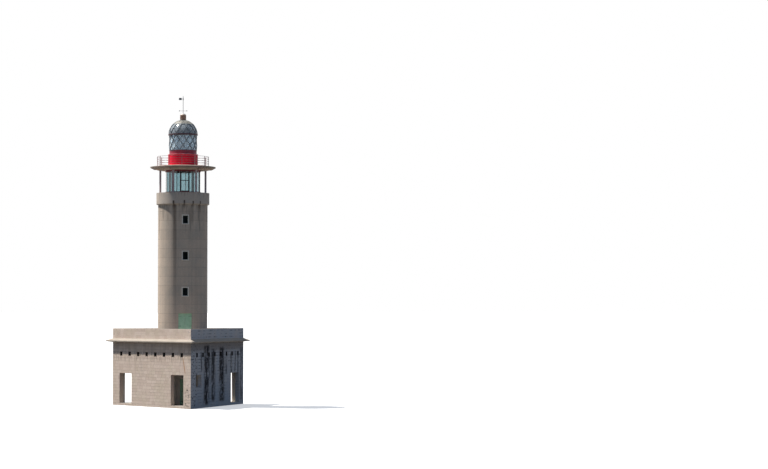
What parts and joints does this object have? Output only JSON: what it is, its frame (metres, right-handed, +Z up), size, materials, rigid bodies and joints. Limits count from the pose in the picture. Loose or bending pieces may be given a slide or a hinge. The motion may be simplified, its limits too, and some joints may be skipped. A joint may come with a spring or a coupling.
{
  "type": "lighthouse",
  "caption": "Round stone lighthouse tower on a triangular hollow building, with glass room, columned gallery, red drum and diamond-lattice lantern with dome.",
  "frame": {"origin": "on the ground, under the middle of the roof plate's outline, which is not the middle of the triangle", "axes": "+Z up; +X to the right and +Y away, seen from the front side"},
  "size_m": [18.2014, 15.7628, 38.3411],
  "materials": {
    "stone": "weathered masonry",
    "tower_stone": "weathered masonry",
    "floor_stone": "rough stone",
    "roof_concrete": "weathered concrete",
    "green_paint": "matt paint",
    "window_frame": "satin paint",
    "window_glass": "dark glass",
    "dark_frame": "satin paint",
    "tinted_glass": "tinted glass",
    "column": "painted concrete",
    "rail": "galvanised",
    "red_paint": "gloss paint",
    "lattice": "satin paint",
    "lantern_glass": "clear glass",
    "cap_metal": "weathered metal",
    "vent_metal": "rusty metal",
    "vane_metal": "satin paint",
    "lamp": "satin paint"
  },
  "bodies": {
    "structure": {"back_parapet": "stone", "back_wall_beams": "stone", "back_wall_piers": "stone", "beacon_pedestal": "lamp", "collar_even_segments": "tower_stone", "collar_odd_segments": "tower_stone", "core_door_pivot": "green_paint", "core_door_stop": "green_paint", "dome_cap": "cap_metal", "dome_glass": "lantern_glass", "dome_lattice": "lattice", "dome_ring": "lattice", "front_parapet": "stone", "front_wall_beams": "stone", "front_wall_piers": "stone", "gallery_brackets": "column", "gallery_columns": "column", "gallery_disc": "roof_concrete", "glass_room_bands": "dark_frame", "glass_room_deck": "tower_stone", "glass_room_door_frame": "dark_frame", "glass_room_panes": "tinted_glass", "glass_room_posts": "dark_frame", "ground_floor": "floor_stone", "lantern_glass": "lantern_glass", "lantern_lattice": "lattice", "railing_even_bays": "rail", "railing_odd_bays": "rail", "red_drum": "red_paint", "right_parapet": "stone", "right_wall_beams": "stone", "right_wall_piers": "stone", "right_window_sill": "stone", "roof_slab": "roof_concrete", "terrace_door_leaves": "green_paint", "tower_front_blocks": "tower_stone", "tower_opening_jambs": "tower_stone", "tower_wall_even_segments": "tower_stone", "tower_wall_odd_segments": "tower_stone", "tower_window_frames": "window_frame", "tower_window_panes": "window_glass", "vane_rod": "vane_metal", "ventilator": "vent_metal"},
    "vane": {"wind_vane": "vane_metal"},
    "lamp": {"beacon_head": "lamp"},
    "door": {"core_door_leaf": "green_paint"}
  },
  "joints": [
    {"name": "vane_turn", "type": "hinge", "parent": "structure", "child": "vane", "pos_m": [0, -2.62714, 37.99], "axis": [0, 0, 1], "continuous": true},
    {"name": "lamp_turn", "type": "hinge", "parent": "structure", "child": "lamp", "pos_m": [0, -2.62714, 32.2], "axis": [0, 0, 1], "continuous": true},
    {"name": "core_door_swing", "type": "hinge", "parent": "structure", "child": "door", "pos_m": [2.2861, -4.62829, 0.3], "axis": [0, 0, -1], "range_deg": [0, 95]}
  ]
}
